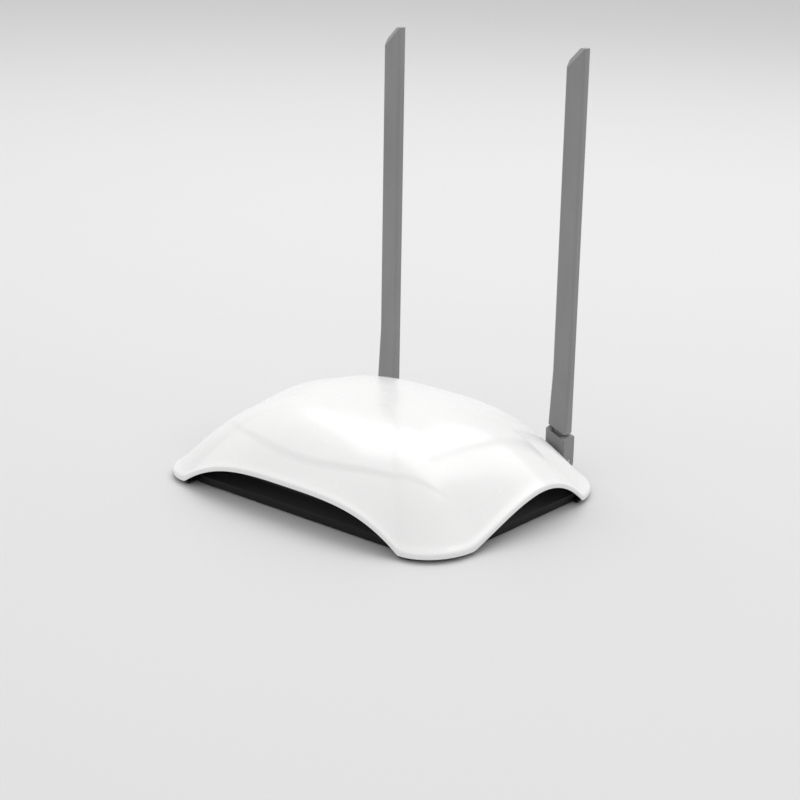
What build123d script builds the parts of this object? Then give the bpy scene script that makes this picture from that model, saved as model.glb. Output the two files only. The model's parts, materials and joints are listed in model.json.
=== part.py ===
"""Wi-Fi router: a white four-footed canopy over a black tray, with two folding blade antennas.

Millimetres. +X is the router's right seen from the front, +Y its back, +Z up.
The origin is the middle of the footprint, on the surface the rubber feet stand on.
"""
from build123d import *
import os
from math import sqrt

os.makedirs("parts", exist_ok=True)

# ---- driving dimensions -------------------------------------------------------------------
BODY_W = 178.0          # width of the cover, foot to foot
BODY_D = 136.0          # depth of the cover, foot to foot
CROWN_Z = 43.0          # top of the dome
ANTENNA_TOP_Z = 207.0   # tip of an upright antenna
ANTENNA_X = 55.2        # swivel axis of each antenna, out from the middle

HALF_W = BODY_W / 2
HALF_D = BODY_D / 2

# ---- cover --------------------------------------------------------------------------------
FOOT_X = HALF_W * 0.753         # where the front and rear arches come down
FOOT_Y = HALF_D * 0.606         # where the side arches come down
REAR_CORNER_R = 31.0            # rounding of the rear feet in plan
RUBBER_FEET_H = 0.6             # the tray's underside above the standing surface
FLOOR_T = 1.6                   # tray floor
FLOOR_TOP = RUBBER_FEET_H + FLOOR_T
PAD_T = 1.1                     # tray under the cover's feet, a little inside its outline
PAD_SCALE = 0.975
RIM_Z = RUBBER_FEET_H + PAD_T + 0.1     # underside of the cover at the four feet
COVER_T = 2.8                   # cover thickness, measured vertically
LIP_H = 2.2                     # height of the cover's edge
ARCH_EASE = 0.8                 # softens the corner between arch and foot on the skin
FRONT_ARCH_H = 14.6             # rise of the front and rear arches
FRONT_ARCH_POWER = 3.3
SIDE_ARCH_H = 13.9              # rise of the side arches
SIDE_ARCH_POWER = 1.9
SIDE_ARCH_SKEW = 0.24           # moves the top of the side arch towards the back
DOME_POWER = 3.5
DOME_EASE = 1.27
CREASE_H = 1.0                  # height of the soft step across the front of the crown
CREASE_W = 4.0                  # width of its slope
CREASE_Y = -57.8                # where it crosses the middle
CREASE_CURVE = 0.00375          # how fast it bows back to the sides
CREASE_HALF_W = 74.0            # where it has run out
SKIN_GRID = 3.0
SKIN_MARGIN = 2.0
FRONT_CORNER = (FOOT_X, FOOT_Y)                                     # middles of the rounded
REAR_CORNER = (HALF_W - REAR_CORNER_R, HALF_D - REAR_CORNER_R)      # corners of the outline

# ---- tray ---------------------------------------------------------------------------------
TUB_W = BODY_W - 11.0
TUB_D = BODY_D - 14.0
TUB_R = 24.0
TUB_WALL_TOP = 4.2              # upright part of the tray's side
TUB_BEVEL = 5.0                 # 45 degree bevel above it
WALL_T = 2.3
RISER_T = 1.8                   # inner wall from the bevel up to the cover
BAY_HALF = 67.5                 # cut-back of the cover's rear edge
REAR_FACE_Y = HALF_D - 5.5      # outer face of the rear panel
REAR_WALL_Y = REAR_FACE_Y - WALL_T
PANEL_X = 64.0                  # rear panel, half width
PANEL_TOP = 20.0
SKIN_GAP = 0.35                 # tray to the cover's inner face
BOSS_POINTS = [(sx * 60.0, sy * 36.0) for sx in (-1, 1) for sy in (-1, 1)]
BOSS_R = 3.3
BOSS_Z = 8.0                    # bottom of the cover's screw bosses
SCREW_R = 1.5
SCREW_PILOT_R = 1.25
SCREW_HEAD_R = 2.8
SCREW_HEAD_H = 1.8
FOOT_POINTS = [(sx * 70.0, sy * 48.0) for sx in (-1, 1) for sy in (-1, 1)]
RUBBER_R = 6.0
RUBBER_RECESS = 0.8
KEYHOLE_SPACING = 90.0
KEYHOLE_Y = 0.0
KEYHOLE_SLOT_W = 4.2
KEYHOLE_SLOT_L = 12.0
KEYHOLE_HEAD_R = 4.2
VENT_W = 2.0
VENT_L = 20.0
VENT_PITCH = 5.0

# ---- board --------------------------------------------------------------------------------
PCB_W = 96.0
PCB_FRONT_Y = -40.0
PCB_BACK_Y = REAR_WALL_Y - 1.2
PCB_T = 1.6
PCB_Z = FLOOR_TOP + 1.4
PCB_TOP = PCB_Z + PCB_T
PCB_SCREWS = [(sx * 43.5, y) for sx in (-1, 1) for y in (PCB_FRONT_Y + 5, 26.0)]

# ---- rear sockets and buttons -------------------------------------------------------------
JACK_W = 15.8
JACK_H = 11.2
JACK_D = 20.0
JACK_PITCH = 16.0
WAN_X = -20.5
LAN_X = 15.5                    # middle of the three-way block
LAN_COUNT = 3
PLUG_W = 11.8
PLUG_H = 7.0
PLUG_DEPTH = 13.0
PLUG_Z = PCB_TOP + 2.2          # bottom of the plug opening
LATCH_W = 6.2
LATCH_H = 1.5
USB_X = -41.2
USB_W = 9.0
USB_H = 3.2
USB_D = 8.5
RESET_X = -33.0
POWER_X = 44.0
BUTTON_GAP = 0.25

# ---- antennas -----------------------------------------------------------------------------
AXIS_Z = 7.2                    # swivel axis and hinge pin height
PIN_Y = 69.0
BARREL_R = 3.5
BARREL_GAP = 0.05
FLANGE_R = 6.2
FLANGE_Y0 = REAR_FACE_Y + 0.3
FLANGE_T = 1.6
KNUCKLE_HALF = 5.6
KNUCKLE_BACK = 3.6              # cheeks behind the pin
CONE_R_IN = 16.8                # shoulder radius about the pin, at the left
CONE_R_OUT = 12.6               # shoulder radius about the pin, at the right
CONE_GAP = 1.7
SLOT_HALF = 3.0
TONGUE_HALF = 2.7
TONGUE_R = 3.4
PIN_R = 1.25
PIN_GAP = 0.05
BLADE_W = 10.2
BLADE_T = 5.2
FOOT_W = 11.0                   # flares to the left and the front only
FOOT_T = 6.6
FLARE_Z = 52.0                  # top of the flared foot
TIP_DROP = 6.0                  # slant of the tip
TIP_ROUND = 3.0                 # its lower corner
TIP_FACET = 3.0                 # chamfer along its front
COAX_R = 0.57
COAX_BEND = 12.0


# ---- shared surfaces and outlines ---------------------------------------------------------
def outline_scale(x, y):
    """How far (x, y) lies towards the cover's outline: 0 in the middle, 1 on the outline."""
    corner_x, corner_y = FRONT_CORNER if y < 0 else REAR_CORNER
    x, y = abs(x), abs(y)
    flat = max(x / HALF_W, y / HALF_D)
    if flat == 0:
        return 0.0
    if x / flat <= corner_x or y / flat <= corner_y:
        return flat
    rx = HALF_W - corner_x
    ry = HALF_D - corner_y
    a = (x / rx) ** 2 + (y / ry) ** 2
    b = x * corner_x / rx**2 + y * corner_y / ry**2
    c = (corner_x / rx) ** 2 + (corner_y / ry) ** 2 - 1
    return a / (b + sqrt(b * b - a * c))


def front_arch(x):
    """Rise of the front and rear arches over the feet; negative beyond the arch's ends."""
    return FRONT_ARCH_H * (1 - abs(x / FOOT_X) ** FRONT_ARCH_POWER)


def side_arch(y):
    """Rise of the side arches over the feet; negative beyond the arch's ends."""
    t = y / FOOT_Y
    return SIDE_ARCH_H * (1 - abs(t + SIDE_ARCH_SKEW * (t * t - 1)) ** SIDE_ARCH_POWER)


def eased(rise):
    """The rise where it is positive, running out softly to zero where it is negative."""
    return (rise + sqrt(rise * rise + 4 * ARCH_EASE**2)) / 2


def dome_fill(r):
    """Share of the dome's rise at outline scale r: 1 in the middle, 0 at the rim."""
    edge = 0.97
    at_edge = (1 - edge**DOME_POWER) ** DOME_EASE
    if r > edge:
        return at_edge * (1 - r) / (1 - edge)
    return (1 - r**DOME_POWER) ** DOME_EASE


def crease_height(x, y):
    """Soft arc-shaped step: the crown behind it stands a little higher, less so to the sides."""
    behind = y - (CREASE_Y + CREASE_CURVE * x * x)
    ramp = min(1.0, max(0.0, behind / CREASE_W + 0.5))
    fade = max(0.0, 1 - (x / CREASE_HALF_W) ** 2)
    settle = max(0.0, 1 - max(0.0, behind) / 60) ** 2
    return CREASE_H * fade * settle * ramp * ramp * (3 - 2 * ramp)


def skin_height(x, y):
    """Height of the cover's outer face."""
    r = outline_scale(x, y)
    if r == 0:
        return CROWN_Z
    rim = RIM_Z + LIP_H + eased(front_arch(x / r)) + eased(side_arch(y / r))
    return rim + (CROWN_Z - rim) * dome_fill(r) + crease_height(x, y)


def skin_face(drop):
    """Smooth face through the outer face's heights, lowered by drop, a little past the outline."""
    half_w = HALF_W + SKIN_MARGIN
    half_d = HALF_D + SKIN_MARGIN
    nx = round(2 * half_w / SKIN_GRID)
    ny = round(2 * half_d / SKIN_GRID)
    xs = [half_w * (2 * i / nx - 1) for i in range(nx + 1)]
    ys = [half_d * (2 * j / ny - 1) for j in range(ny + 1)]
    grid = [[Vector(x, y, skin_height(x, y) - drop) for y in ys] for x in xs]
    return Face.make_surface_from_array_of_points(grid, tol=0.02, max_deg=3)


def body_outline():
    """Outline of the cover: straight sides, elliptic front corners and round rear corners."""
    with BuildSketch() as outline:
        for end, (corner_x, corner_y) in ((-1, FRONT_CORNER), (1, REAR_CORNER)):
            with Locations((0, end * HALF_D / 2)):
                Rectangle(2 * corner_x, HALF_D)
            with Locations((0, end * corner_y / 2)):
                Rectangle(BODY_W, corner_y)
            with Locations((-corner_x, end * corner_y), (corner_x, end * corner_y)):
                Ellipse(HALF_W - corner_x, HALF_D - corner_y)
    return outline.sketch


def save(part, name):
    part.label = name
    export_step(part, f"parts/{name}.step")


def box_at(x0, x1, y0, y1, z0, z1, mode=Mode.ADD):
    """Box given by its six faces, in the active builder."""
    with Locations(((x0 + x1) / 2, (y0 + y1) / 2, (z0 + z1) / 2)):
        Box(x1 - x0, y1 - y0, z1 - z0, mode=mode)


def arch_tunnel(plane, half_span, rise, length):
    """Prism under one pair of arches, right through the cover."""
    with BuildPart() as tunnel:
        with BuildSketch(plane):
            with BuildLine():
                stations = [half_span * (i / 6 - 1) for i in range(13)]
                Spline([(s, RIM_Z + max(0.0, rise(s))) for s in stations])
                Polyline((-half_span, RIM_Z), (-half_span, -5), (half_span, -5), (half_span, RIM_Z))
            make_face()
        extrude(amount=length, both=True)
    return tunnel.part


OUTLINE = body_outline()

# ---- top cover ----------------------------------------------------------------------------
with BuildPart() as cover_bosses:
    with BuildSketch(Plane.XY.offset(BOSS_Z)):
        with Locations(BOSS_POINTS):
            Circle(BOSS_R)
    extrude(amount=50)
    extrude(skin_face(0.6), amount=80, dir=(0, 0, -1), mode=Mode.INTERSECT)

with BuildPart() as top_cover:
    with BuildSketch():
        add(OUTLINE)
    extrude(amount=70)
    extrude(skin_face(0), amount=COVER_T, dir=(0, 0, -1), mode=Mode.INTERSECT)
    box_at(-BAY_HALF, BAY_HALF, REAR_FACE_Y, HALF_D + 5, 0, 70, mode=Mode.SUBTRACT)
    box_at(-HALF_W - 5, HALF_W + 5, -HALF_D - 5, HALF_D + 5, -10, RIM_Z, mode=Mode.SUBTRACT)
    add(arch_tunnel(Plane.XZ, FOOT_X, front_arch, HALF_D + 10), mode=Mode.SUBTRACT)
    add(arch_tunnel(Plane.YZ, FOOT_Y, side_arch, HALF_W + 10), mode=Mode.SUBTRACT)
    add(cover_bosses.part)
    with Locations([(x, y, BOSS_Z) for x, y in BOSS_POINTS]):
        Cylinder(SCREW_PILOT_R, 7.0, align=(Align.CENTER, Align.CENTER, Align.MIN),
                 mode=Mode.SUBTRACT)
save(top_cover.part, "top_cover")


# ---- base tray ----------------------------------------------------------------------------
def tub_solid(inset, floor_z):
    """Tray body inset from its outer face: upright side, then a 45 degree bevel."""
    with BuildPart() as tub:
        with BuildSketch(Plane.XY.offset(floor_z)):
            RectangleRounded(TUB_W - 2 * inset, TUB_D - 2 * inset, TUB_R - inset)
        extrude(amount=TUB_WALL_TOP - floor_z)
        with BuildSketch(Plane.XY.offset(TUB_WALL_TOP)):
            RectangleRounded(TUB_W - 2 * inset, TUB_D - 2 * inset, TUB_R - inset)
        extrude(amount=TUB_BEVEL + (2 if inset else 0), taper=45)
    return tub.part


def riser_wall():
    """Upright wall from the bevel up to the cover, all round the case."""
    with BuildPart() as riser:
        with BuildSketch(Plane.XY.offset(TUB_WALL_TOP)):
            RectangleRounded(TUB_W - 2 * TUB_BEVEL, TUB_D - 2 * TUB_BEVEL, TUB_R - TUB_BEVEL)
            RectangleRounded(TUB_W - 2 * TUB_BEVEL - 2 * RISER_T,
                             TUB_D - 2 * TUB_BEVEL - 2 * RISER_T,
                             TUB_R - TUB_BEVEL - RISER_T, mode=Mode.SUBTRACT)
        extrude(amount=30)
    return riser.part


TUB_OUTER = tub_solid(0, RUBBER_FEET_H)
TUB_INNER = tub_solid(WALL_T - 0.3, FLOOR_TOP)

with BuildPart() as under_skin:
    with BuildSketch():
        add(OUTLINE)
    extrude(amount=70)
    extrude(skin_face(COVER_T + SKIN_GAP), amount=80, dir=(0, 0, -1), mode=Mode.INTERSECT)

with BuildPart() as foot_pads:
    with BuildSketch(Plane.XY.offset(RUBBER_FEET_H)):
        add(OUTLINE)
        scale(by=PAD_SCALE)
    extrude(amount=PAD_T)
    box_at(-FOOT_X + 1, FOOT_X - 1, -HALF_D, HALF_D, -1, 5, mode=Mode.SUBTRACT)
    box_at(-HALF_W, HALF_W, -FOOT_Y + 1, FOOT_Y - 1, -1, 5, mode=Mode.SUBTRACT)

with BuildPart() as rear_walls:
    box_at(-PANEL_X, PANEL_X, 44, REAR_FACE_Y, FLOOR_TOP - 0.6, PANEL_TOP)
    box_at(-PANEL_X + WALL_T, PANEL_X - WALL_T, 40, REAR_WALL_Y, 0, 30, mode=Mode.SUBTRACT)

with BuildPart() as base_tray:
    add(TUB_OUTER)
    add(TUB_INNER, mode=Mode.SUBTRACT)
    add(riser_wall())
    box_at(-PANEL_X + WALL_T, PANEL_X - WALL_T, 44, REAR_WALL_Y, FLOOR_TOP, 30, mode=Mode.SUBTRACT)
    box_at(-PANEL_X, PANEL_X, REAR_FACE_Y, HALF_D + 5, 0, 30, mode=Mode.SUBTRACT)
    box_at(-PANEL_X, PANEL_X, REAR_WALL_Y - 5, REAR_FACE_Y, RUBBER_FEET_H, FLOOR_TOP)
    add(foot_pads.part)
    add(rear_walls.part)
    add(under_skin.part, mode=Mode.INTERSECT)
    # bosses for the case screws, the board's posts
    with BuildSketch(Plane.XY.offset(RUBBER_FEET_H)):
        with Locations(BOSS_POINTS):
            Circle(BOSS_R + 1.2)
    extrude(amount=BOSS_Z - 0.1 - RUBBER_FEET_H)
    with BuildSketch(Plane.XY.offset(RUBBER_FEET_H)):
        with Locations(PCB_SCREWS):
            Circle(2.6)
    extrude(amount=PCB_Z - RUBBER_FEET_H)
    with Locations([(x, y, RUBBER_FEET_H) for x, y in BOSS_POINTS]):
        Cylinder(SCREW_R + 0.1, 30, mode=Mode.SUBTRACT)
        Cylinder(SCREW_HEAD_R + 0.2, 2 * (SCREW_HEAD_H + 0.6), mode=Mode.SUBTRACT)
    with Locations([(x, y, FLOOR_TOP - 0.8) for x, y in PCB_SCREWS]):
        Cylinder(0.9, 10, align=(Align.CENTER, Align.CENTER, Align.MIN), mode=Mode.SUBTRACT)
    # recesses for the rubber feet
    with Locations([(x, y, RUBBER_FEET_H + RUBBER_RECESS - 5) for x, y in FOOT_POINTS]):
        Cylinder(RUBBER_R + 0.1, 5, align=(Align.CENTER, Align.CENTER, Align.MIN),
                 mode=Mode.SUBTRACT)
    # openings in the rear panel
    box_at(WAN_X - JACK_W / 2 - 0.2, WAN_X + JACK_W / 2 + 0.2, REAR_WALL_Y - 1, REAR_FACE_Y + 1,
           PCB_TOP - 0.2, PCB_TOP + JACK_H + 0.2, mode=Mode.SUBTRACT)
    lan_half = (LAN_COUNT - 1) / 2 * JACK_PITCH + JACK_W / 2 + 0.2
    box_at(LAN_X - lan_half, LAN_X + lan_half, REAR_WALL_Y - 1, REAR_FACE_Y + 1,
           PCB_TOP - 0.2, PCB_TOP + JACK_H + 0.2, mode=Mode.SUBTRACT)
    with BuildSketch(Plane((USB_X, REAR_WALL_Y - 1, PCB_TOP + USB_H / 2), x_dir=(1, 0, 0),
                           z_dir=(0, 1, 0))):
        SlotOverall(USB_W + 0.4, USB_H + 0.4)
    extrude(amount=WALL_T + 2, mode=Mode.SUBTRACT)
    with BuildSketch(Plane((0, REAR_WALL_Y - 1, 0), x_dir=(1, 0, 0), z_dir=(0, 1, 0))):
        with Locations((RESET_X, -PCB_TOP - 2.4)):
            Rectangle(3.6 + 2 * BUTTON_GAP, 3.0 + 2 * BUTTON_GAP)
        with Locations((POWER_X, -PCB_TOP - 3.6)):
            Rectangle(5.0 + 2 * BUTTON_GAP, 5.0 + 2 * BUTTON_GAP)
        with Locations((-ANTENNA_X, -AXIS_Z), (ANTENNA_X, -AXIS_Z)):
            Circle(BARREL_R + BARREL_GAP)
    extrude(amount=WALL_T + 2, mode=Mode.SUBTRACT)
    # keyholes and vents in the floor
    with BuildSketch(Plane.XY.offset(RUBBER_FEET_H - 1)):
        with GridLocations(KEYHOLE_SPACING, 1, 2, 1):
            with Locations((0, KEYHOLE_Y)):
                SlotOverall(KEYHOLE_SLOT_L, KEYHOLE_SLOT_W)
            with Locations((KEYHOLE_SLOT_L / 2 + 2.5, KEYHOLE_Y)):
                Circle(KEYHOLE_HEAD_R)
        with GridLocations(VENT_PITCH, 30.0, 11, 2):
            SlotOverall(VENT_L, VENT_W, rotation=90)
    extrude(amount=FLOOR_T + 2, mode=Mode.SUBTRACT)
save(base_tray.part, "base_tray")

with BuildPart() as rubber_feet:
    with Locations([(x, y, 0) for x, y in FOOT_POINTS]):
        Cylinder(RUBBER_R, RUBBER_FEET_H + RUBBER_RECESS,
                 align=(Align.CENTER, Align.CENTER, Align.MIN))
    chamfer(rubber_feet.edges().group_by(Axis.Z)[0], 0.3)
save(rubber_feet.part, "rubber_feet")


def screws(points, z, shank_r, shank_l, head_r, head_h):
    """Pan head screws pointing up from z, heads below."""
    with BuildPart() as group:
        with Locations([(x, y, z) for x, y in points]):
            Cylinder(head_r, head_h, align=(Align.CENTER, Align.CENTER, Align.MIN))
            Cylinder(shank_r, head_h + shank_l, align=(Align.CENTER, Align.CENTER, Align.MIN))
        with Locations([(x, y, z) for x, y in points]):
            Box(2.6, 0.6, 1.6, mode=Mode.SUBTRACT)
            Box(0.6, 2.6, 1.6, mode=Mode.SUBTRACT)
    return group.part


SCREW_Z = RUBBER_FEET_H + 0.6
save(screws(BOSS_POINTS, SCREW_Z, SCREW_PILOT_R - 0.02, BOSS_Z + 4.0 - SCREW_Z,
            SCREW_HEAD_R, SCREW_HEAD_H), "case_screws")

# ---- main board and what stands on it -----------------------------------------------------
with BuildPart() as main_board:
    box_at(-PCB_W / 2, PCB_W / 2, PCB_FRONT_Y, PCB_BACK_Y, PCB_Z, PCB_TOP)
    fillet(main_board.edges().filter_by(Axis.Z), 2.0)
    with Locations([(x, y, PCB_Z) for x, y in PCB_SCREWS]):
        Cylinder(1.2, 10, mode=Mode.SUBTRACT)
save(main_board.part, "main_board")

with BuildPart() as board_screws:
    with Locations([(x, y, PCB_TOP) for x, y in PCB_SCREWS]):
        Cylinder(2.2, 1.2, align=(Align.CENTER, Align.CENTER, Align.MIN))
    with Locations([(x, y, PCB_TOP - 3.2) for x, y in PCB_SCREWS]):
        Cylinder(0.88, 3.4, align=(Align.CENTER, Align.CENTER, Align.MIN))
    with Locations([(x, y, PCB_TOP + 1.2) for x, y in PCB_SCREWS]):
        Box(2.4, 0.5, 1.2, mode=Mode.SUBTRACT)
        Box(0.5, 2.4, 1.2, mode=Mode.SUBTRACT)
save(board_screws.part, "board_screws")


def on_board(name, width, depth, height, points, corner=0.0, lift=0.0):
    """Blocks of one size standing on the board, in one node."""
    with BuildPart() as group:
        with BuildSketch(Plane.XY.offset(PCB_TOP + lift)):
            with Locations(points):
                if corner:
                    RectangleRounded(width, depth, corner)
                else:
                    Rectangle(width, depth)
        extrude(amount=height)
    save(group.part, name)


CPU_POINT = (-4.0, -4.0)
SHIELD_POINT = (-2.0, -26.0)
on_board("processor", 14.0, 14.0, 1.0, [CPU_POINT], corner=0.3)
on_board("thermal_pad", 13.0, 13.0, 0.8, [CPU_POINT], lift=1.0)
on_board("memory_chips", 8.0, 12.0, 1.1, [(18.0, -4.0), (-24.0, -6.0)], corner=0.2)
on_board("line_transformers", 14.0, 9.0, 5.6, [(WAN_X, 29.0), (4.0, 29.0), (21.0, 29.0)],
         corner=0.6)
on_board("power_inductors", 6.0, 6.0, 3.0, [(-40.0, 14.0), (-32.0, 14.0)], corner=1.2)
on_board("crystals", 5.0, 3.2, 1.2, [(8.0, 10.0), (-14.0, 10.0)], corner=0.5)

with BuildPart() as heat_sink:
    with BuildSketch(Plane.XY.offset(PCB_TOP + 1.8)):
        with Locations(CPU_POINT):
            Rectangle(18, 18)
    extrude(amount=1.6)
    with BuildSketch(Plane.XY.offset(PCB_TOP + 3.4)):
        with Locations(CPU_POINT):
            with GridLocations(2.8, 1, 7, 1):
                Rectangle(1.0, 18)
    extrude(amount=6.0)
save(heat_sink.part, "heat_sink")

with BuildPart() as shield_can:
    with BuildSketch(Plane.XY.offset(PCB_TOP)):
        with Locations(SHIELD_POINT):
            RectangleRounded(46, 18, 1.0)
    extrude(amount=3.2)
    with BuildSketch(Plane.XY.offset(PCB_TOP)):
        with Locations(SHIELD_POINT):
            RectangleRounded(45.4, 17.4, 0.7)
    extrude(amount=2.9, mode=Mode.SUBTRACT)
    with BuildSketch(Plane.XY.offset(PCB_TOP + 2.5)):
        with Locations(SHIELD_POINT):
            with GridLocations(5.0, 5.0, 8, 3):
                Circle(0.6)
    extrude(amount=2, mode=Mode.SUBTRACT)
save(shield_can.part, "shield_can")

with BuildPart() as capacitors:
    with BuildSketch(Plane.XY.offset(PCB_TOP)):
        with Locations((-42.0, 4.0), (-34.5, 4.0), (40.0, 12.0), (33.0, 12.0)):
            Circle(3.1)
    extrude(amount=7.5)
    fillet(capacitors.edges().group_by(Axis.Z)[-1], 0.4)
save(capacitors.part, "capacitors")

# ---- sockets ------------------------------------------------------------------------------
JACK_Y = REAR_FACE_Y - JACK_D / 2


def plug_opening(x):
    """Hollow of one network socket, with its latch way above."""
    box_at(x - PLUG_W / 2, x + PLUG_W / 2, REAR_FACE_Y - PLUG_DEPTH, REAR_FACE_Y + 1,
           PLUG_Z, PLUG_Z + PLUG_H, mode=Mode.SUBTRACT)
    box_at(x - LATCH_W / 2, x + LATCH_W / 2, REAR_FACE_Y - PLUG_DEPTH, REAR_FACE_Y + 1,
           PLUG_Z + PLUG_H - 0.1, PLUG_Z + PLUG_H + LATCH_H, mode=Mode.SUBTRACT)


def jack_block(name, xs):
    with BuildPart() as block:
        half = (xs[-1] - xs[0]) / 2 + JACK_W / 2
        middle = (xs[-1] + xs[0]) / 2
        box_at(middle - half, middle + half, REAR_FACE_Y - JACK_D, REAR_FACE_Y,
               PCB_TOP, PCB_TOP + JACK_H)
        for x in xs:
            plug_opening(x)
    save(block.part, name)


def contacts(name, xs):
    """Eight spring wires in each socket, sloping down from the back."""
    with BuildPart() as group:
        for x in xs:
            for i in range(8):
                wire_x = x + (i - 3.5) * 1.02
                with BuildSketch(Plane.YZ.offset(wire_x - 0.18)):
                    with BuildLine():
                        y0 = REAR_FACE_Y - PLUG_DEPTH
                        Polyline((y0, PLUG_Z + 2.2), (y0 + 8.5, PLUG_Z + 0.4),
                                 (y0 + 8.5, PLUG_Z + 0.05), (y0 + 8.1, PLUG_Z + 0.05),
                                 (y0, PLUG_Z + 1.8), close=True)
                    make_face()
                extrude(amount=0.36)
    save(group.part, name)


LAN_XS = [LAN_X + (i - (LAN_COUNT - 1) / 2) * JACK_PITCH for i in range(LAN_COUNT)]
jack_block("wan_socket", [WAN_X])
jack_block("lan_sockets", LAN_XS)
contacts("wan_contacts", [WAN_X])
contacts("lan_contacts", LAN_XS)

USB_PLANE = Plane((USB_X, REAR_FACE_Y - USB_D, PCB_TOP + USB_H / 2), x_dir=(1, 0, 0),
                  z_dir=(0, 1, 0))
with BuildPart() as usb_inlet:
    with BuildSketch(USB_PLANE):
        SlotOverall(USB_W, USB_H)
    extrude(amount=USB_D)
    with BuildSketch(USB_PLANE.offset(1.5)):
        SlotOverall(USB_W - 0.6, USB_H - 0.6)
    extrude(amount=USB_D, mode=Mode.SUBTRACT)
save(usb_inlet.part, "power_inlet")

with BuildPart() as usb_tongue:
    with BuildSketch(USB_PLANE.offset(1.5)):
        Rectangle(6.6, 0.7)
    extrude(amount=USB_D - 2.3)
save(usb_tongue.part, "power_inlet_tongue")


# ---- buttons ------------------------------------------------------------------------------
def button(name, x, z, width, height, stick_out, travel, body_w, body_h, body_d):
    """Push button through the rear panel, and the switch body that its stem enters."""
    stem_r = min(width, height) * 0.3
    back_y = REAR_WALL_Y - 2.4
    with BuildPart() as cap:
        box_at(x - width / 2, x + width / 2, back_y + travel, REAR_FACE_Y + stick_out,
               z - height / 2, z + height / 2)
        fillet(cap.faces().sort_by(Axis.Y)[-1].edges(), 0.4)
        with BuildSketch(Plane((x, back_y - 2.0, z), x_dir=(1, 0, 0), z_dir=(0, 1, 0))):
            Circle(stem_r)
        extrude(amount=2.2 + travel)
    save(cap.part, name + "_button")
    with BuildPart() as body:
        box_at(x - body_w / 2, x + body_w / 2, back_y - body_d, back_y - 0.2,
               PCB_TOP, PCB_TOP + body_h)
        with BuildSketch(Plane((x, back_y - 2.0 - travel - 0.3, z), x_dir=(1, 0, 0),
                               z_dir=(0, 1, 0))):
            Circle(stem_r + 0.06)
        extrude(amount=5, mode=Mode.SUBTRACT)
    save(body.part, name + "_switch")


button("reset", RESET_X, PCB_TOP + 2.4, 3.6, 3.0, 0.8, 0.6, 5.2, 4.6, 4.4)
button("power", POWER_X, PCB_TOP + 3.6, 5.0, 5.0, 3.0, 1.8, 7.0, 7.2, 10.0)


# ---- antennas -----------------------------------------------------------------------------
def shoulder_cone(side_x, extra, half):
    """Cone about the hinge pin whose radius shrinks from the inner to the outer side."""
    slope = (CONE_R_OUT - CONE_R_IN) / (2 * KNUCKLE_HALF)
    middle = (CONE_R_OUT + CONE_R_IN) / 2 + extra
    with BuildPart() as cone:
        with BuildSketch(Plane.XY):
            with BuildLine():
                Polyline((-half, 0), (-half, middle - slope * half),
                         (half, middle + slope * half), (half, 0), close=True)
            make_face()
        revolve(axis=Axis.X)
    return cone.part.moved(Location((side_x, PIN_Y, AXIS_Z)))


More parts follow.
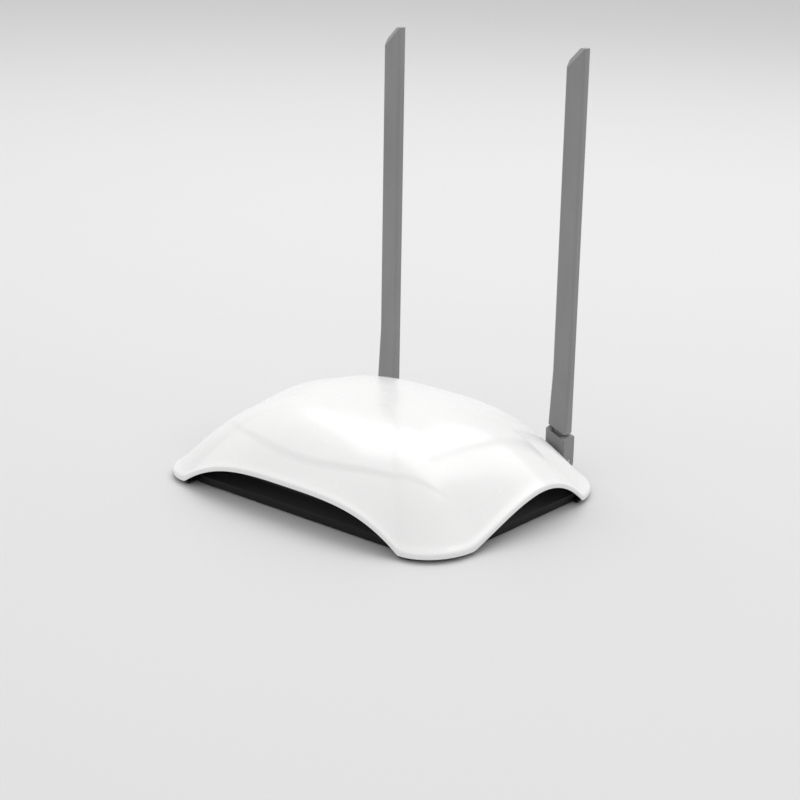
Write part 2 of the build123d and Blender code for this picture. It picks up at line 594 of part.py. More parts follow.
def antenna(side, x0):
    rear_plane = Plane((x0, 0, AXIS_Z), x_dir=(1, 0, 0), z_dir=(0, 1, 0))
    # swivel: barrel through the rear panel, flange, and two cheeks for the pin
    with BuildPart() as cheeks:
        box_at(x0 - KNUCKLE_HALF, x0 + KNUCKLE_HALF, FLANGE_Y0 + FLANGE_T - 0.2, PIN_Y + KNUCKLE_BACK,
               AXIS_Z - 5.2, AXIS_Z + 20)
        fillet(cheeks.faces().sort_by(Axis.Y)[-1].edges().sort_by(Axis.Z)[0], 4.5)
        add(shoulder_cone(x0, 0, KNUCKLE_HALF + 1), mode=Mode.INTERSECT)
        box_at(x0 - SLOT_HALF, x0 + SLOT_HALF, FLANGE_Y0 + FLANGE_T, PIN_Y + 10,
               AXIS_Z - 10, AXIS_Z + 20, mode=Mode.SUBTRACT)
    with BuildPart() as swivel:
        with BuildSketch(rear_plane.offset(REAR_WALL_Y - 4.0)):
            Circle(BARREL_R)
        extrude(amount=FLANGE_Y0 + 0.2 - REAR_WALL_Y + 4.0)
        with BuildSketch(rear_plane.offset(FLANGE_Y0)):
            Circle(FLANGE_R)
        extrude(amount=FLANGE_T)
        add(cheeks.part)
        with BuildSketch(rear_plane.offset(REAR_WALL_Y - 2.6)):
            Circle(BARREL_R + 1)
            Circle(BARREL_R - 0.6, mode=Mode.SUBTRACT)
        extrude(amount=1.2, mode=Mode.SUBTRACT)
        with BuildSketch(rear_plane.offset(REAR_WALL_Y - 5.0)):
            Circle(1.5)
        extrude(amount=30, mode=Mode.SUBTRACT)
        with BuildSketch(Plane.YZ.offset(x0 - 20)):
            with Locations((PIN_Y, AXIS_Z)):
                Circle(PIN_R)
        extrude(amount=40, mode=Mode.SUBTRACT)
    save(swivel.part, f"antenna_swivel_{side}")
    # clip and washer that hold the barrel in the panel
    with BuildPart() as clip:
        with BuildSketch(rear_plane.offset(REAR_WALL_Y - 2.5)):
            Circle(4.7)
            Circle(BARREL_R - 0.55, mode=Mode.SUBTRACT)
            with Locations((0, 5)):
                Rectangle(3.6, 8, mode=Mode.SUBTRACT)
        extrude(amount=1.0)
    save(clip.part, f"swivel_clip_{side}")
    with BuildPart() as washer:
        with BuildSketch(rear_plane.offset(REAR_WALL_Y - 1.3)):
            Circle(4.9)
            Circle(BARREL_R + 0.15, mode=Mode.SUBTRACT)
        extrude(amount=1.2)
    save(washer.part, f"swivel_washer_{side}")
    # hinge pin
    with BuildPart() as pin:
        with BuildSketch(Plane.YZ.offset(x0 - KNUCKLE_HALF + 0.1)):
            with Locations((PIN_Y, AXIS_Z)):
                Circle(PIN_R)
        extrude(amount=2 * KNUCKLE_HALF - 0.2)
        chamfer(pin.edges(), 0.2)
    save(pin.part, f"hinge_pin_{side}")
    # blade: flared foot, long flat body, slanted tip, tongue between the cheeks
    back_y = PIN_Y + BLADE_T / 2
    left = x0 - BLADE_W / 2
    slant_z = ANTENNA_TOP_Z - TIP_DROP
    facet_dir = Vector(-1, -sqrt(2), 1).normalized()
    facet_start = Vector(left, back_y - BLADE_T, slant_z) - facet_dir * TIP_FACET / sqrt(2)
    with BuildPart() as blade:
        with BuildSketch(Plane.XY.offset(AXIS_Z + CONE_R_OUT - 2)):
            with Locations((x0 + (BLADE_W - FOOT_W) / 2, back_y - FOOT_T / 2)):
                RectangleRounded(FOOT_W, FOOT_T, 1.4)
        with BuildSketch(Plane.XY.offset(FLARE_Z)):
            with Locations((x0, back_y - BLADE_T / 2)):
                RectangleRounded(BLADE_W, BLADE_T, 1.4)
        loft()
        with BuildSketch(Plane.XY.offset(FLARE_Z)):
            with Locations((x0, back_y - BLADE_T / 2)):
                RectangleRounded(BLADE_W, BLADE_T, 1.4)
        extrude(amount=ANTENNA_TOP_Z - FLARE_Z)
        with BuildSketch(Plane.XZ.offset(-PIN_Y - 20)):
            with BuildLine():
                FilletPolyline((left - 0.3, slant_z - 20), (left - 0.3, slant_z - 0.3),
                               (left + TIP_DROP + 15, slant_z + TIP_DROP + 15),
                               (left - 20, slant_z + TIP_DROP + 15), (left - 20, slant_z - 20),
                               radius=TIP_ROUND, close=True)
            make_face()
        extrude(amount=40, mode=Mode.SUBTRACT)
        top_edges = blade.edges().filter_by(Axis.Y).group_by(Axis.Z)[-1]
        fillet(top_edges.sort_by(Axis.X)[0], 2.5)
        with BuildSketch(Plane(facet_start, x_dir=(1, 0, 1), z_dir=facet_dir)):
            Rectangle(60, 60)
        extrude(amount=20, mode=Mode.SUBTRACT)
        add(shoulder_cone(x0, CONE_GAP, 20), mode=Mode.SUBTRACT)
        box_at(x0 - TONGUE_HALF, x0 + TONGUE_HALF, PIN_Y - 2.5, PIN_Y + 2.5,
               AXIS_Z, AXIS_Z + CONE_R_IN + 3)
        with BuildSketch(Plane.YZ.offset(x0 - TONGUE_HALF)):
            with Locations((PIN_Y, AXIS_Z)):
                Circle(TONGUE_R)
        extrude(amount=2 * TONGUE_HALF)
        with BuildSketch(Plane.YZ.offset(x0 - 20)):
            with Locations((PIN_Y, AXIS_Z)):
                Circle(PIN_R + PIN_GAP)
        extrude(amount=40, mode=Mode.SUBTRACT)
        box_at(x0 - 3.6, x0 + 3.6, PIN_Y - 0.7, PIN_Y + 0.7, 34, 158, mode=Mode.SUBTRACT)
        with BuildSketch(Plane.XY.offset(AXIS_Z + 2.4)):
            with Locations((x0, PIN_Y)):
                Circle(COAX_R + 0.15)
        extrude(amount=30, mode=Mode.SUBTRACT)
    save(blade.part, f"antenna_blade_{side}")
    # radiator board inside the blade, and its feed wire down to the hinge
    with BuildPart() as radiator:
        box_at(x0 - 3.3, x0 + 3.3, PIN_Y - 0.4, PIN_Y + 0.4, 36, 156)
    save(radiator.part, f"antenna_element_{side}")
    with BuildPart() as feed:
        with BuildSketch(Plane.XY.offset(AXIS_Z + 2.6)):
            with Locations((x0, PIN_Y)):
                Circle(COAX_R)
        extrude(amount=36 - AXIS_Z - 2.6)
    save(feed.part, f"antenna_feed_{side}")
    # coax from the board plug into the barrel
    sign = 1 if x0 > 0 else -1
    plug_x = sign * 37.0
    plug_y = 36.0
    with BuildPart() as coax:
        with BuildLine():
            FilletPolyline((plug_x + sign * 1.6, plug_y, AXIS_Z), (x0, plug_y, AXIS_Z),
                           (x0, REAR_FACE_Y + 1.5, AXIS_Z), radius=COAX_BEND)
        with BuildSketch(Plane((plug_x + sign * 1.6, plug_y, AXIS_Z), z_dir=(sign, 0, 0))):
            Circle(COAX_R)
        sweep()
    save(coax.part, f"coax_{side}")
    with BuildPart() as plug:
        with Locations((plug_x, plug_y, PCB_TOP)):
            Cylinder(1.6, AXIS_Z + 0.9 - PCB_TOP, align=(Align.CENTER, Align.CENTER, Align.MIN))
    save(plug.part, f"coax_plug_{side}")


antenna("left", -ANTENNA_X)
antenna("right", ANTENNA_X)
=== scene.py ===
# Looks of the Wi-Fi router. Metres; +X is the router's right, +Y its back, +Z up.
import json
from math import cos, pi, radians, sin, sqrt

import bmesh
import bpy
from mathutils import Matrix, Vector


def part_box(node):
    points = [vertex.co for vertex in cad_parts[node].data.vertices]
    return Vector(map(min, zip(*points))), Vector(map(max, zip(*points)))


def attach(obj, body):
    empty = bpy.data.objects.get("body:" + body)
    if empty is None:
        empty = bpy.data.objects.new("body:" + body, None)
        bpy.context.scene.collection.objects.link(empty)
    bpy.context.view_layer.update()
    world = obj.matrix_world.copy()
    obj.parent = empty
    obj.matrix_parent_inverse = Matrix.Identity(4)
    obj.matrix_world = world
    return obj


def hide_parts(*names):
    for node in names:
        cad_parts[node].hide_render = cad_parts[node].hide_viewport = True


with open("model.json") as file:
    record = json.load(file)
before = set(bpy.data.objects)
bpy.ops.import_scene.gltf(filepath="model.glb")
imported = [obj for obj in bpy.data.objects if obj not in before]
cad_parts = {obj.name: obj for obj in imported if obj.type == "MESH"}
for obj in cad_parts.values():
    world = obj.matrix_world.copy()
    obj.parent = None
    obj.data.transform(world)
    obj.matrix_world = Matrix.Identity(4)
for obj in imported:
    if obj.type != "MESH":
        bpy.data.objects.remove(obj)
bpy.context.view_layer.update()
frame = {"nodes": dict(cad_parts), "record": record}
NODES = frame["nodes"]
MM = 0.001

# ---- driving dimensions, read from the frame ------------------------------------------------
COVER_LOW, COVER_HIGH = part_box("top_cover")
HALF_W = COVER_HIGH.x
HALF_D = -COVER_LOW.y
RIM_Z = COVER_LOW.z
CREST = 0.02 * MM                   # what the crease adds at the highest point
CROWN_Z = COVER_HIGH.z - CREST
REAR_FACE_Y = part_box("lan_sockets")[1].y

# ---- cover shape ----------------------------------------------------------------------------
FOOT_X = 0.753 * HALF_W             # where the front and rear arches come down
FOOT_Y = 0.606 * HALF_D             # where the side arches come down
REAR_CORNER_R = 31.0 * MM           # rounding of the rear feet in plan
FRONT_CORNER = (FOOT_X, FOOT_Y)
REAR_CORNER = (HALF_W - REAR_CORNER_R, HALF_D - REAR_CORNER_R)
COVER_T = 2.8 * MM
LIP_H = 2.2 * MM
ARCH_EASE = 0.8 * MM
EDGE_EASE = 0.15 * MM
ROOF_DROP = 0.2 * EDGE_EASE         # lowers the eased underside back onto the feet
FRONT_ARCH_H = 14.6 * MM
FRONT_ARCH_POWER = 3.3
SIDE_ARCH_H = 13.9 * MM
SIDE_ARCH_POWER = 1.9
SIDE_ARCH_SKEW = 0.24
DOME_POWER = 3.5
DOME_EASE = 1.27
DOME_EDGE = 0.97
CREASE_H = 1.2 * MM                 # a little sharper than the CAD's crease
CREASE_W = 2.6 * MM
CREASE_Y = -57.8 * MM
CREASE_CURVE = 3.75                 # bow back to the sides, per metre
CREASE_HALF_W = 74.0 * MM
CREASE_SETTLE = 60.0 * MM
BAY_HALF = 67.5 * MM                # cut-back of the rear edge
BAY_DEPTH = 20.0 * MM
BAY_HEIGHT = 100.0 * MM
BAY_MID_Z = 30.0 * MM
EDGE_ROUND = 0.6 * MM               # rounding of the cover's upper edge
LOWER_ROUND = 0.35 * MM
SHARP_ANGLE = 35                    # degrees between faces that stay a hard edge
RINGS = 112                         # rings of the cover's mesh, middle to rim
ROUND_STEPS = 5
BOSS_X = 60.0 * MM
BOSS_Y = 36.0 * MM
BOSS_R = 3.3 * MM
BOSS_HOLE_R = 1.25 * MM
BOSS_Z = 8.0 * MM
BOSS_SINK = 1.0 * MM                # how far the bosses' tops stay under the outer face


def outline_scale(x, y):
    """How far (x, y) lies towards the cover's outline: 0 in the middle, 1 on the outline."""
    corner_x, corner_y = FRONT_CORNER if y < 0 else REAR_CORNER
    x, y = abs(x), abs(y)
    flat = max(x / HALF_W, y / HALF_D)
    if flat == 0:
        return 0.0
    if x / flat <= corner_x or y / flat <= corner_y:
        return flat
    rx = HALF_W - corner_x
    ry = HALF_D - corner_y
    a = (x / rx) ** 2 + (y / ry) ** 2
    b = x * corner_x / rx**2 + y * corner_y / ry**2
    c = (corner_x / rx) ** 2 + (corner_y / ry) ** 2 - 1
    return a / (b + sqrt(b * b - a * c))


def front_arch(x):
    return FRONT_ARCH_H * (1 - abs(x / FOOT_X) ** FRONT_ARCH_POWER)


def side_arch(y):
    t = y / FOOT_Y
    return SIDE_ARCH_H * (1 - abs(t + SIDE_ARCH_SKEW * (t * t - 1)) ** SIDE_ARCH_POWER)


def eased(rise, ease):
    """The rise where it is positive, running out softly to zero where it is negative."""
    return (rise + sqrt(rise * rise + 4 * ease**2)) / 2


def dome_fill(r):
    """Share of the dome's rise at outline scale r: 1 in the middle, 0 at the rim."""
    at_edge = (1 - DOME_EDGE**DOME_POWER) ** DOME_EASE
    if r > DOME_EDGE:
        return at_edge * (1 - r) / (1 - DOME_EDGE)
    return (1 - r**DOME_POWER) ** DOME_EASE


def crease_height(x, y):
    """Soft arc-shaped step: the crown behind it stands a little higher."""
    behind = y - (CREASE_Y + CREASE_CURVE * x * x)
    ramp = min(1.0, max(0.0, behind / CREASE_W + 0.5))
    fade = max(0.0, 1 - (x / CREASE_HALF_W) ** 2)
    settle = max(0.0, 1 - max(0.0, behind) / CREASE_SETTLE) ** 2
    return CREASE_H * fade * settle * ramp * ramp * (3 - 2 * ramp)


def skin_height(x, y):
    """Height of the cover's outer face."""
    r = outline_scale(x, y)
    if r == 0:
        return CROWN_Z
    rim = RIM_Z + LIP_H + eased(front_arch(x / r), ARCH_EASE) + eased(side_arch(y / r), ARCH_EASE)
    return rim + (CROWN_Z - rim) * dome_fill(r) + crease_height(x, y)


def arch_roof(x, y):
    """Underside of the cover's edge: the feet's flat bottoms and the arches between them."""
    return RIM_Z + eased(max(front_arch(x), side_arch(y)), EDGE_EASE) - ROOF_DROP


def inner_height(x, y):
    return max(arch_roof(x, y), skin_height(x, y) - COVER_T)


# ---- mesh helpers ---------------------------------------------------------------------------
def new_object(name, bm):
    """Object from a bmesh, smooth except where faces meet at more than SHARP_ANGLE."""
    mesh = bpy.data.meshes.new(name)
    bmesh.ops.recalc_face_normals(bm, faces=bm.faces)
    bm.to_mesh(mesh)
    bm.free()
    mesh.shade_smooth()
    mesh.set_sharp_from_angle(angle=radians(SHARP_ANGLE))
    obj = bpy.data.objects.new(name, mesh)
    bpy.context.collection.objects.link(obj)
    return obj


def bridge(bm, low, high):
    """Faces between two closed rows of vertices of the same length."""
    count = len(low)
    for i in range(count):
        j = (i + 1) % count
        bm.faces.new((low[i], low[j], high[j], high[i]))


def tube(bm, x, y, z0, z1, r_out, r_in, segments=32):
    """Standing tube with a closed top."""
    rows = []
    for r, z in ((r_out, z1), (r_out, z0), (r_in, z0), (r_in, z1 - r_in)):
        row = []
        for i in range(segments):
            a = 2 * pi * i / segments
            row.append(bm.verts.new((x + r * cos(a), y + r * sin(a), z)))
        rows.append(row)
    for low, high in zip(rows, rows[1:]):
        bridge(bm, low, high)
    bm.faces.new(rows[0])
    bm.faces.new(rows[-1])


def apply_modifiers(obj):
    """Leaves the object with the mesh its modifiers make."""
    graph = bpy.context.evaluated_depsgraph_get()
    mesh = bpy.data.meshes.new_from_object(obj.evaluated_get(graph))
    obj.modifiers.clear()
    obj.data = mesh


def ring_walk(ring):
    """Grid steps once round the square ring, as (i, j) pairs."""
    walk = []
    for i in range(-ring, ring):
        walk.append((i, -ring))
    for j in range(-ring, ring):
        walk.append((ring, j))
    for i in range(ring, -ring, -1):
        walk.append((i, ring))
    for j in range(ring, -ring, -1):
        walk.append((-ring, j))
    return walk


def skin_grid(bm, height, reach):
    """Square grid stretched over the outline up to outline scale reach; returns its outer row."""
    verts = {}
    for i in range(-RINGS, RINGS + 1):
        for j in range(-RINGS, RINGS + 1):
            ring = max(abs(i), abs(j))
            x = y = 0.0
            if ring:
                x, y = i * HALF_W, j * HALF_D
                scale = reach * ring / RINGS / outline_scale(x, y)
                x, y = x * scale, y * scale
            verts[i, j] = bm.verts.new((x, y, height(x, y)))
    for i in range(-RINGS, RINGS):
        for j in range(-RINGS, RINGS):
            bm.faces.new((verts[i, j], verts[i + 1, j], verts[i + 1, j + 1], verts[i, j + 1]))
    return [verts[step] for step in ring_walk(RINGS)]


def bezier(a, b, c, t):
    return a * (1 - t) ** 2 + b * 2 * t * (1 - t) + c * t**2


# ---- cover ----------------------------------------------------------------------------------
def edge_points(vertex, reach):
    """Profile of the cover's edge outside one vertex of the skin's outer row."""
    x, y = vertex.co.x / reach, vertex.co.y / reach
    side_top = Vector((x, y, skin_height(x, y)))
    start = vertex.co.copy()
    wall_top = side_top - Vector((0, 0, EDGE_ROUND))
    foot = Vector((x, y, arch_roof(x, y)))
    wall_low = foot + Vector((0, 0, LOWER_ROUND))
    inset = Vector((x * reach, y * reach, 0))
    inset.z = arch_roof(inset.x, inset.y)
    points = [bezier(start, side_top, wall_top, k / ROUND_STEPS) for k in range(1, ROUND_STEPS + 1)]
    points += [bezier(wall_low, foot, inset, k / ROUND_STEPS) for k in range(ROUND_STEPS)]
    return points


def boss_top(x, y):
    """Height of a boss's top: just under the lowest point of the skin above it."""
    around = [skin_height(x + sx * BOSS_R, y + sy * BOSS_R) for sx in (-1, 1) for sy in (-1, 1)]
    return min(around) - BOSS_SINK


def cover_mesh():
    """Closed shell: outer face, rounded edge, underside, and the screw bosses."""
    reach = 1 - EDGE_ROUND / HALF_D
    bm = bmesh.new()
    outer = skin_grid(bm, skin_height, reach)
    inner = skin_grid(bm, inner_height, reach)
    profiles = [edge_points(v, reach) for v in outer]
    rows = [outer]
    for k in range(2 * ROUND_STEPS):
        rows.append([bm.verts.new(points[k]) for points in profiles])
    rows.append(inner)
    for low, high in zip(rows, rows[1:]):
        bridge(bm, low, high)
    for sx in (-1, 1):
        for sy in (-1, 1):
            x, y = sx * BOSS_X, sy * BOSS_Y
            tube(bm, x, y, BOSS_Z, boss_top(x, y), BOSS_R, BOSS_HOLE_R)
    return bm


def cut_rear(cover):
    """Takes the rear edge back to the face the sockets stand in."""
    middle = Matrix.Translation((0, REAR_FACE_Y + BAY_DEPTH / 2, BAY_MID_Z))
    size = Matrix.Diagonal((2 * BAY_HALF, BAY_DEPTH, BAY_HEIGHT, 1))
    cutter = bmesh.new()
    bmesh.ops.create_cube(cutter, size=1, matrix=middle @ size)
    knife = new_object("cover_cutter", cutter)
    cut = cover.modifiers.new("rear_cut", "BOOLEAN")
    cut.object = knife
    cut.solver = "EXACT"
    apply_modifiers(cover)
    bpy.data.objects.remove(knife)
    cover.data.set_sharp_from_angle(angle=radians(SHARP_ANGLE))


def make_cover():
    cover = new_object("cover", cover_mesh())
    cut_rear(cover)
    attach(cover, "chassis")
    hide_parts("top_cover")
    return cover


cover = make_cover()


# ---- materials ------------------------------------------------------------------------------
MOULDED_EDGE = 0.3 * MM             # radii the edges look rounded by
METAL_EDGE = 0.2 * MM
ANTENNA_EDGE = 0.35 * MM


class Paint:
    """Principled material, and short calls for the nodes that vary it."""

    def __init__(self, name, color, roughness, **sockets):
        self.material = bpy.data.materials.new(name)
        self.material.use_nodes = True
        self.tree = self.material.node_tree
        self.shader = self.tree.nodes["Principled BSDF"]
        self.shader.inputs["Base Color"].default_value = (*color, 1)
        self.shader.inputs["Roughness"].default_value = roughness
        for key, value in sockets.items():
            self.shader.inputs[key.replace("_", " ")].default_value = value
        self.place = self.node("ShaderNodeTexCoord").outputs["Object"]

    def node(self, kind, **inputs):
        made = self.tree.nodes.new(kind)
        for key, value in inputs.items():
            socket = made.inputs[key.replace("_", " ")]
            if hasattr(value, "is_linked"):
                self.tree.links.new(value, socket)
            else:
                socket.default_value = value
        return made

    def stretched(self, x, y, z):
        """Object coordinates scaled along each axis."""
        return self.node("ShaderNodeMapping", Vector=self.place, Scale=(x, y, z)).outputs["Vector"]

    def noise(self, size, detail=4.0, roughness=0.55, place=None):
        """Noise from 0 to 1 with features of about the given size in metres."""
        made = self.node("ShaderNodeTexNoise", Vector=place or self.place, Scale=1 / size,
                         Detail=detail, Roughness=roughness)
        return made.outputs["Fac"]

    def span(self, value, low, high, to_low, to_high):
        made = self.node("ShaderNodeMapRange", Value=value, From_Min=low, From_Max=high,
                         To_Min=to_low, To_Max=to_high)
        return made.outputs["Result"]

    def blend(self, factor, color_a, color_b):
        mix = self.tree.nodes.new("ShaderNodeMix")
        mix.data_type = "RGBA"
        for value, socket in ((factor, mix.inputs[0]), (color_a, mix.inputs[6]),
                              (color_b, mix.inputs[7])):
            if hasattr(value, "is_linked"):
                self.tree.links.new(value, socket)
            else:
                socket.default_value = value if socket is mix.inputs[0] else (*value, 1)
        return mix.outputs[2]

    def times(self, value_a, value_b):
        product = self.node("ShaderNodeMath", Value=value_a)
        product.operation = "MULTIPLY"
        self.tree.links.new(value_b, product.inputs[1])
        return product.outputs[0]

    def edges(self, radius):
        """Mask that is 1 on edges of about the given radius, and the normals that round them."""
        soft = self.node("ShaderNodeBevel", Radius=radius)
        soft.samples = 4
        true = self.node("ShaderNodeNewGeometry").outputs["Normal"]
        dot = self.tree.nodes.new("ShaderNodeVectorMath")
        dot.operation = "DOT_PRODUCT"
        self.tree.links.new(soft.outputs["Normal"], dot.inputs[0])
        self.tree.links.new(true, dot.inputs[1])
        return self.span(dot.outputs["Value"], 1.0, 0.9, 0.0, 1.0), soft.outputs["Normal"]

    def set(self, socket, value):
        self.tree.links.new(value, self.shader.inputs[socket])

    def bump(self, height, depth, normal=None):
        """Relief of the given depth in metres."""
        made = self.node("ShaderNodeBump", Height=height, Distance=depth)
        if normal:
            self.tree.links.new(normal, made.inputs["Normal"])
        self.set("Normal", made.outputs["Normal"])


def moulded(name, color, roughness, grain, depth, wear=0.35, **sockets):
    """Injection-moulded plastic: fine spark-eroded grain, cloudy gloss, paler worn edges."""
    paint = Paint(name, color, roughness, **sockets)
    mask, soft = paint.edges(MOULDED_EDGE)
    clouds = paint.noise(0.02, 5)
    tone = paint.blend(paint.span(clouds, 0.3, 0.7, 0.0, 1.0), [c * 0.88 for c in color],
                       [min(1.0, c * 1.1) for c in color])
    patchy = paint.span(paint.noise(0.0012, 3), 0.35, 0.75, 0.0, wear)
    pale = [min(1.0, c + 0.05 + 0.25 * (1 - c) * wear) for c in color]
    paint.set("Base Color", paint.blend(paint.times(mask, patchy), tone, pale))
    paint.set("Roughness", paint.span(clouds, 0.3, 0.7, roughness - 0.05, roughness + 0.06))
    pits = paint.noise(grain, 2, 0.6)
    paint.bump(pits, depth, soft)
    return paint.material


def gloss_white(name):
    """Polished white ABS: faint orange peel, handling haze, faint dust specks."""
    paint = Paint(name, (0.86, 0.86, 0.855), 0.16, Coat_Weight=0.15, Coat_Roughness=0.12)
    paint.shader.inputs["IOR"].default_value = 1.53
    clouds = paint.noise(0.035, 4)
    tone = paint.blend(paint.span(clouds, 0.3, 0.7, 0.0, 1.0), (0.845, 0.845, 0.84),
                       (0.875, 0.875, 0.87))
    dust = paint.span(paint.noise(0.0007, 6, 0.7), 0.62, 0.8, 0.0, 0.35)
    paint.set("Base Color", paint.blend(dust, tone, (0.80, 0.795, 0.78)))
    haze = paint.noise(0.012, 6, 0.65, paint.stretched(1.0, 2.4, 1.0))
    paint.set("Roughness", paint.span(haze, 0.3, 0.75, 0.19, 0.3))
    paint.bump(paint.noise(0.0016, 2), 0.006 * MM)
    return paint.material


def rubber(name):
    paint = Paint(name, (0.025, 0.025, 0.026), 0.75)
    clouds = paint.noise(0.006, 5)
    paint.set("Base Color", paint.blend(clouds, (0.018, 0.018, 0.019), (0.05, 0.048, 0.046)))
    paint.set("Roughness", paint.span(clouds, 0.3, 0.7, 0.66, 0.86))
    paint.bump(paint.noise(0.0004, 3), 0.03 * MM)
    return paint.material


def metal(name, color, roughness, streak=(1.0, 1.0, 1.0), grain=0.0006, depth=0.004 * MM):
    """Plated or drawn metal: streaks along one axis, smudges, softened edges."""
    paint = Paint(name, color, roughness, Metallic=1.0)
    mask, soft = paint.edges(METAL_EDGE)
    smudge = paint.noise(0.004, 5)
    dull = paint.blend(paint.span(smudge, 0.35, 0.7, 0.0, 1.0), color, [c * 0.72 for c in color])
    paint.set("Base Color", paint.blend(paint.span(mask, 0, 1, 0, 0.5), dull,
                                        [min(1.0, c * 1.2) for c in color]))
    lines = paint.noise(grain, 3, 0.6, paint.stretched(*streak))
    paint.set("Roughness", paint.span(lines, 0.3, 0.7, roughness - 0.08, roughness + 0.12))
    paint.bump(lines, depth, soft)
    return paint.material


def board(name):
    """Green solder mask over copper tracks, with pale legend-free pads."""
    paint = Paint(name, (0.01, 0.12, 0.05), 0.32)
    tracks = paint.node("ShaderNodeTexBrick", Vector=paint.place, Scale=260.0, Mortar_Size=0.12,
                        Brick_Width=1.7, Row_Height=0.5)
    paint.set("Base Color", paint.blend(tracks.outputs["Fac"], (0.008, 0.105, 0.045),
                                        (0.02, 0.19, 0.085)))
    paint.set("Roughness", paint.span(paint.noise(0.003, 4), 0.3, 0.7, 0.25, 0.42))
    paint.bump(tracks.outputs["Fac"], 0.03 * MM)
    return paint.material


def satin_grey(name):
    """Antenna plastic: satin grey, fine grain, slightly darker and glossier where it is handled."""
    paint = Paint(name, (0.235, 0.235, 0.24), 0.4)
    mask, soft = paint.edges(ANTENNA_EDGE)
    clouds = paint.noise(0.03, 5, 0.55, paint.stretched(1.0, 1.0, 0.35))
    tone = paint.blend(paint.span(clouds, 0.3, 0.7, 0.0, 1.0), (0.21, 0.21, 0.215),
                       (0.265, 0.265, 0.27))
    chips = paint.span(paint.noise(0.0009, 4, 0.7), 0.45, 0.7, 0.0, 0.6)
    paint.set("Base Color", paint.blend(paint.times(mask, chips), tone, (0.36, 0.36, 0.37)))
    paint.set("Roughness", paint.span(clouds, 0.3, 0.7, 0.34, 0.48))
    paint.bump(paint.noise(0.00035, 2, 0.6), 0.012 * MM, soft)
    return paint.material


LOOKS = {
    "cover_white": gloss_white("gloss_white_abs"),
    "tray_black": moulded("textured_black_abs", (0.01, 0.01, 0.011), 0.42, 0.4 * MM, 0.012 * MM,
                          Specular_IOR_Level=0.22),
    "foot_rubber": rubber("black_rubber"),
    "screw_steel": metal("zinc_steel", (0.56, 0.56, 0.57), 0.3, (1.0, 1.0, 6.0)),
    "board_green": board("solder_mask_green"),
    "chip_black": moulded("epoxy_black", (0.02, 0.02, 0.022), 0.5, 0.2 * MM, 0.006 * MM, wear=0.15),
    "pad_grey": moulded("silicone_grey", (0.32, 0.36, 0.4), 0.7, 0.5 * MM, 0.01 * MM, wear=0.0),
    "sink_alu": metal("extruded_aluminium", (0.78, 0.79, 0.8), 0.32, (6.0, 0.4, 6.0)),
    "tin_plate": metal("tinned_steel", (0.7, 0.7, 0.69), 0.28, (1.0, 5.0, 1.0)),
    "socket_black": moulded("socket_black_pbt", (0.022, 0.022, 0.024), 0.44, 0.3 * MM, 0.008 * MM),
    "contact_gold": metal("plated_gold", (0.86, 0.62, 0.27), 0.2, (5.0, 1.0, 1.0)),
    "button_black": moulded("button_black_abs", (0.03, 0.03, 0.032), 0.4, 0.3 * MM, 0.008 * MM),
    "antenna_grey": satin_grey("satin_grey_abs"),
    "wire_black": moulded("jacket_black", (0.02, 0.02, 0.02), 0.38, 0.6 * MM, 0.01 * MM, wear=0.1),
}


def dress(obj, look):
    obj.data.materials.clear()
    obj.data.materials.append(look)


for part in frame["record"]["subparts"]:
    for slot in NODES[part["node"]].material_slots:
        slot.material = LOOKS[part["material_slot"]]
dress(cover, LOOKS["cover_white"])


# ---- floor, light and camera ----------------------------------------------------------------
FLOOR_HALF = 4.0                    # metres
WORLD_STRENGTH = 0.8
LIGHTS = {                          # place, point aimed at, size in metres, watts
    "overhead": ((-0.3, 0.75, 1.5), (0, 0, 0.02), (1.9, 1.3), 15.5),
    "left_fill": ((-1.5, -1.3, 0.8), (0, 0, 0.08), (1.6, 1.2), 2.0),
}


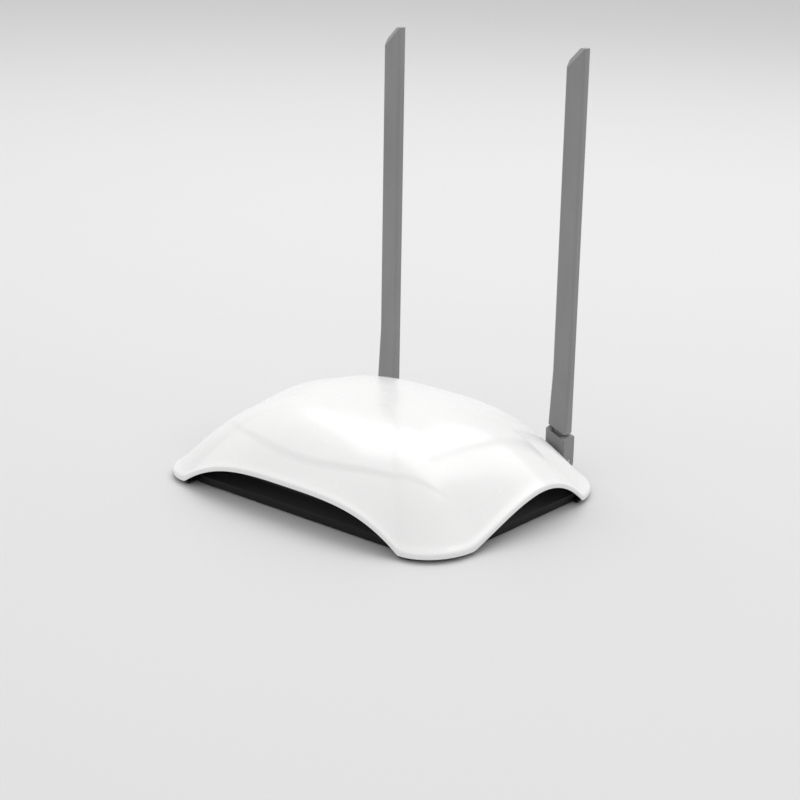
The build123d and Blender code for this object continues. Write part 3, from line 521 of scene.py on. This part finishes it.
def make_floor():
    bm = bmesh.new()
    bmesh.ops.create_grid(bm, x_segments=2, y_segments=2, size=FLOOR_HALF)
    floor = new_object("floor", bm)
    paint = Paint("pale_floor", (0.66, 0.66, 0.66), 0.6)
    shade = paint.noise(0.6, 3)
    paint.set("Base Color", paint.blend(shade, (0.65, 0.65, 0.65), (0.67, 0.67, 0.67)))
    paint.bump(paint.noise(0.002, 3), 0.01 * MM)
    dress(floor, paint.material)


def area_light(name, place, aim, size, power):
    data = bpy.data.lights.new(name, "AREA")
    data.shape = "RECTANGLE"
    data.size, data.size_y = size
    data.energy = power
    light = bpy.data.objects.new(name, data)
    light.location = place
    light.rotation_euler = (Vector(aim) - Vector(place)).to_track_quat("-Z", "Y").to_euler()
    bpy.context.collection.objects.link(light)


def make_world():
    world = bpy.data.worlds.new("studio")
    world.use_nodes = True
    background = world.node_tree.nodes["Background"]
    background.inputs["Color"].default_value = (1.0, 1.0, 1.0, 1)
    background.inputs["Strength"].default_value = WORLD_STRENGTH
    bpy.context.scene.world = world


CAMERA_TARGET = Vector((-0.8580 * HALF_W, 1.5122 * HALF_D, 0.0))
CAMERA_AZIMUTH = radians(40.03)
CAMERA_ELEVATION = radians(18.10)
CAMERA_ROLL = radians(-1.0)
CAMERA_DISTANCE = 992.05 * MM
CAMERA_LENS = 80.99
CAMERA_SENSOR = 36.0


def make_camera():
    data = bpy.data.cameras.new("camera")
    data.sensor_width = CAMERA_SENSOR
    data.lens = CAMERA_LENS
    data.clip_start = 0.05
    data.clip_end = 20.0
    camera = bpy.data.objects.new("camera", data)
    back = Vector((sin(CAMERA_AZIMUTH) * cos(CAMERA_ELEVATION),
                   -cos(CAMERA_AZIMUTH) * cos(CAMERA_ELEVATION), sin(CAMERA_ELEVATION)))
    right = (-back).cross(Vector((0, 0, 1))).normalized()
    down = (-back).cross(right)
    c, s = cos(CAMERA_ROLL), sin(CAMERA_ROLL)
    axes = Matrix((c * right + s * down, s * right - c * down, back)).transposed()
    camera.matrix_world = Matrix.Translation(CAMERA_TARGET + back * CAMERA_DISTANCE) @ axes.to_4x4()
    bpy.context.collection.objects.link(camera)
    bpy.context.scene.camera = camera


make_floor()
make_world()
for name, settings in LIGHTS.items():
    area_light(name, *settings)
make_camera()
bpy.context.scene.view_settings.view_transform = "Standard"
